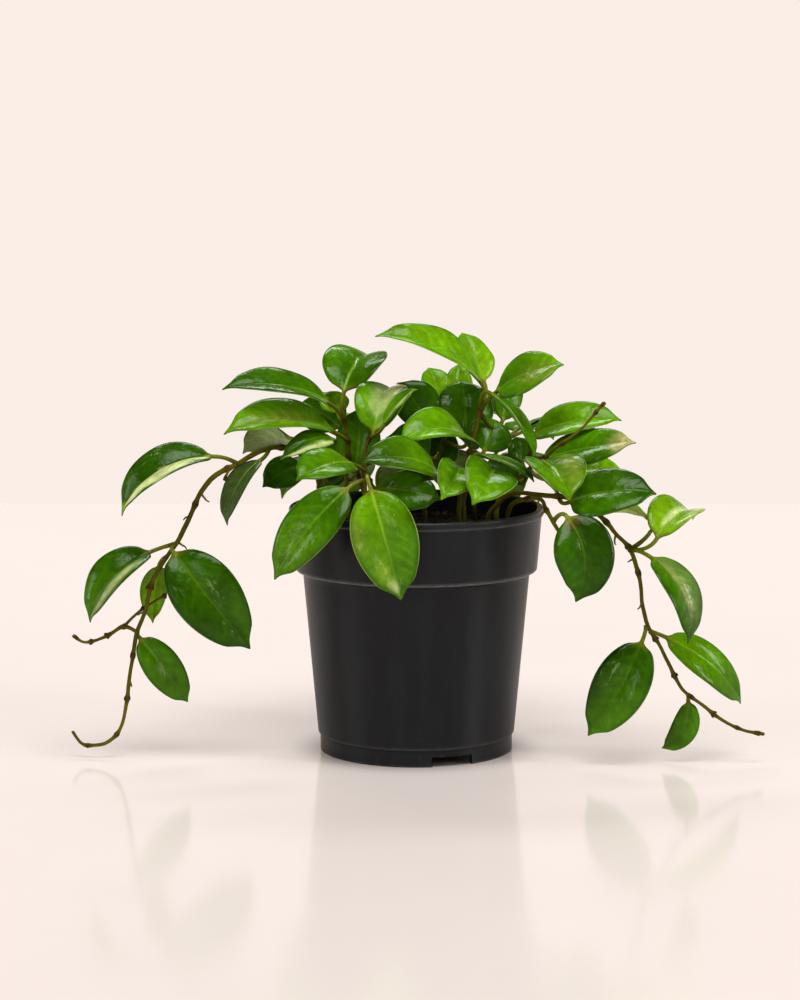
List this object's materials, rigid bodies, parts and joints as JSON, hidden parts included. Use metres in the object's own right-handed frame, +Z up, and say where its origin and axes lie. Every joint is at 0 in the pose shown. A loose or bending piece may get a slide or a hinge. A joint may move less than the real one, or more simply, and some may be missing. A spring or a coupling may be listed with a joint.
{
  "type": "potted wax plant",
  "caption": "Wax plant with thick waxy green leaves on trailing stems, growing in a black plastic nursery pot.",
  "frame": {"origin": "middle of the pot's foot, on the surface the pot stands on", "axes": "+Z up, +X to the viewer's right along the spread of the trailing stems, -Y towards the viewer"},
  "size_m": [0.3229, 0.1446, 0.202],
  "materials": {
    "pot_plastic": "satin",
    "potting_mix": "matte",
    "foliage": "satin"
  },
  "bodies": {
    "root": {"pot": "pot_plastic", "potting_mix": "potting_mix", "vine_left_trail": "foliage", "vine_right_trail": "foliage", "vine_right_short": "foliage", "vine_tall": "foliage", "vine_centre": "foliage", "vine_left_centre": "foliage", "vine_left_upper": "foliage", "vine_left_low": "foliage", "vine_front": "foliage", "vine_front_right": "foliage", "vine_right_upper": "foliage", "vine_back_left": "foliage", "vine_back": "foliage", "vine_back_right": "foliage"}
  },
  "joints": []
}
